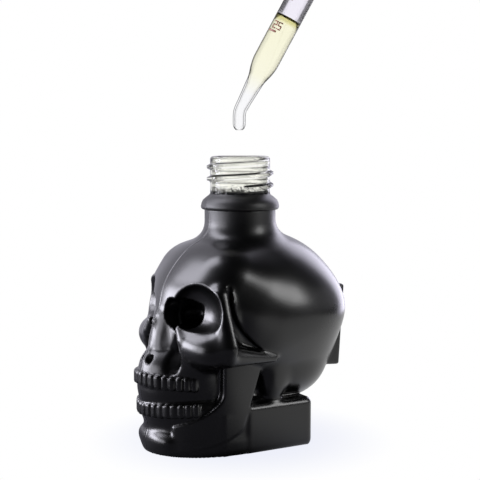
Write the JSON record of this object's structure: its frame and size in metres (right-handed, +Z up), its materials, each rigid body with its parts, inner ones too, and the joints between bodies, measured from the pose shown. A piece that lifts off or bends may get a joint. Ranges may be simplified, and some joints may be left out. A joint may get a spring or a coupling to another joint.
{
  "type": "dropper bottle",
  "caption": "Skull-shaped black glass bottle with a clear threaded neck, and its glass dropper with rubber bulb and screw collar held leaning over the open mouth.",
  "frame": {"origin": "on the standing plane, under the axis of the neck", "axes": "+Z up along the neck, -Y the way the face looks, +X the skull's left side"},
  "size_m": [0.053, 0.0777, 0.1831],
  "materials": {
    "lacquered_glass": "blown glass sprayed satin black outside, bare at the threaded neck",
    "clear_glass": "clear flame-worked glass",
    "bitters_liquid": "pale yellow clear liquid",
    "enamel_print": "red-brown fired enamel print",
    "collar_plastic": "black moulded polypropylene, ribbed",
    "bulb_rubber": "black moulded rubber"
  },
  "bodies": {
    "bottle": {"glass_bottle": "lacquered_glass"},
    "dropper": {"pipette": "clear_glass", "pipette_liquid": "bitters_liquid", "mark_1": "enamel_print", "mark_2": "enamel_print", "mark_3": "enamel_print", "mark_4": "enamel_print"},
    "collar": {"collar": "collar_plastic"},
    "bulb": {"bulb": "bulb_rubber"}
  },
  "joints": [
    {"name": "dropper_swing", "type": "hinge", "parent": "bottle", "child": "dropper", "pos_m": [0.07281, 0.12611, 0.05213], "axis": [-0.866, 0.5, 0], "range_deg": [-28.3, 0]},
    {"name": "collar_turn", "type": "hinge", "parent": "dropper", "child": "collar", "pos_m": [0.0145, 0.02512, 0.14271], "axis": [0.237, 0.4106, 0.8805], "continuous": true},
    {"name": "bulb_squeeze", "type": "slide", "parent": "dropper", "child": "bulb", "axis": [-0.237, -0.4106, -0.8805], "range_m": [0, 0.008], "stiffness_N_per_m": 300, "deforming": ["bulb"]}
  ]
}
